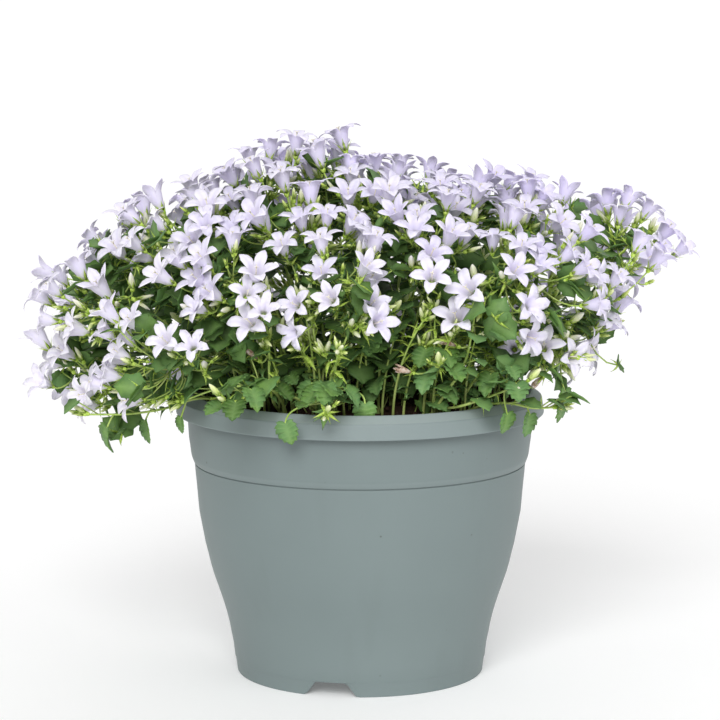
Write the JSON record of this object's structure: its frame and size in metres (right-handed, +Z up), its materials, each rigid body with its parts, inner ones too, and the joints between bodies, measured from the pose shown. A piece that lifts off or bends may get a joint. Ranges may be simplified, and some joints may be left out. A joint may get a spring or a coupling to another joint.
{
  "type": "potted bellflower",
  "caption": "Flowering bellflower in a flared plastic pot: a wide mound of open star-shaped bells, buds and toothed leaves on thin stems that stand in the soil and trail over the rim",
  "frame": {"origin": "on the plane of the pot's foot, under the middle of the whole, 3 mm left of the pot's axis", "axes": "+Z up along the pot's axis, +X along the wide spread of the flowers, -Y towards the viewer of the picture"},
  "size_m": [0.4173, 0.2926, 0.3458],
  "materials": {
    "pot_plastic": "matte grey-green moulded plastic, fine grain, a little soil dust",
    "potting_soil": "dark loose peat, rough",
    "petals": "thin soft petals, pale lavender white",
    "foliage": "fresh green leaves, calyces and stems, soft satin",
    "buds": "closed buds, cream to pale green"
  },
  "bodies": {
    "root": {"pot": "pot_plastic", "soil": "potting_soil", "spray_01": "petals", "spray_02": "petals", "spray_03": "petals", "spray_04": "petals", "spray_05": "petals", "spray_06": "petals", "spray_07": "petals", "spray_08": "petals", "spray_09": "petals", "spray_10": "petals", "spray_11": "petals", "spray_12": "petals", "spray_13": "petals", "spray_14": "petals", "spray_15": "petals", "spray_16": "petals", "spray_17": "petals", "spray_18": "petals", "spray_19": "petals", "spray_20": "petals", "spray_21": "petals", "spray_22": "petals", "spray_23": "petals", "spray_24": "petals", "spray_25": "petals", "spray_26": "petals", "spray_27": "petals", "spray_28": "petals", "spray_29": "petals", "spray_30": "petals", "spray_31": "petals", "spray_32": "petals", "leafy_stem_01": "foliage", "leafy_stem_02": "foliage", "leafy_stem_03": "foliage", "leafy_stem_04": "foliage", "leafy_stem_05": "foliage", "leafy_stem_06": "foliage", "leafy_stem_07": "foliage", "leafy_stem_08": "foliage", "leafy_stem_09": "foliage", "leafy_stem_10": "foliage", "leafy_stem_11": "foliage", "leafy_stem_12": "foliage", "leafy_stem_13": "foliage", "leafy_stem_14": "foliage", "leafy_stem_15": "foliage", "leafy_stem_16": "foliage", "leafy_stem_17": "foliage"}
  },
  "joints": []
}
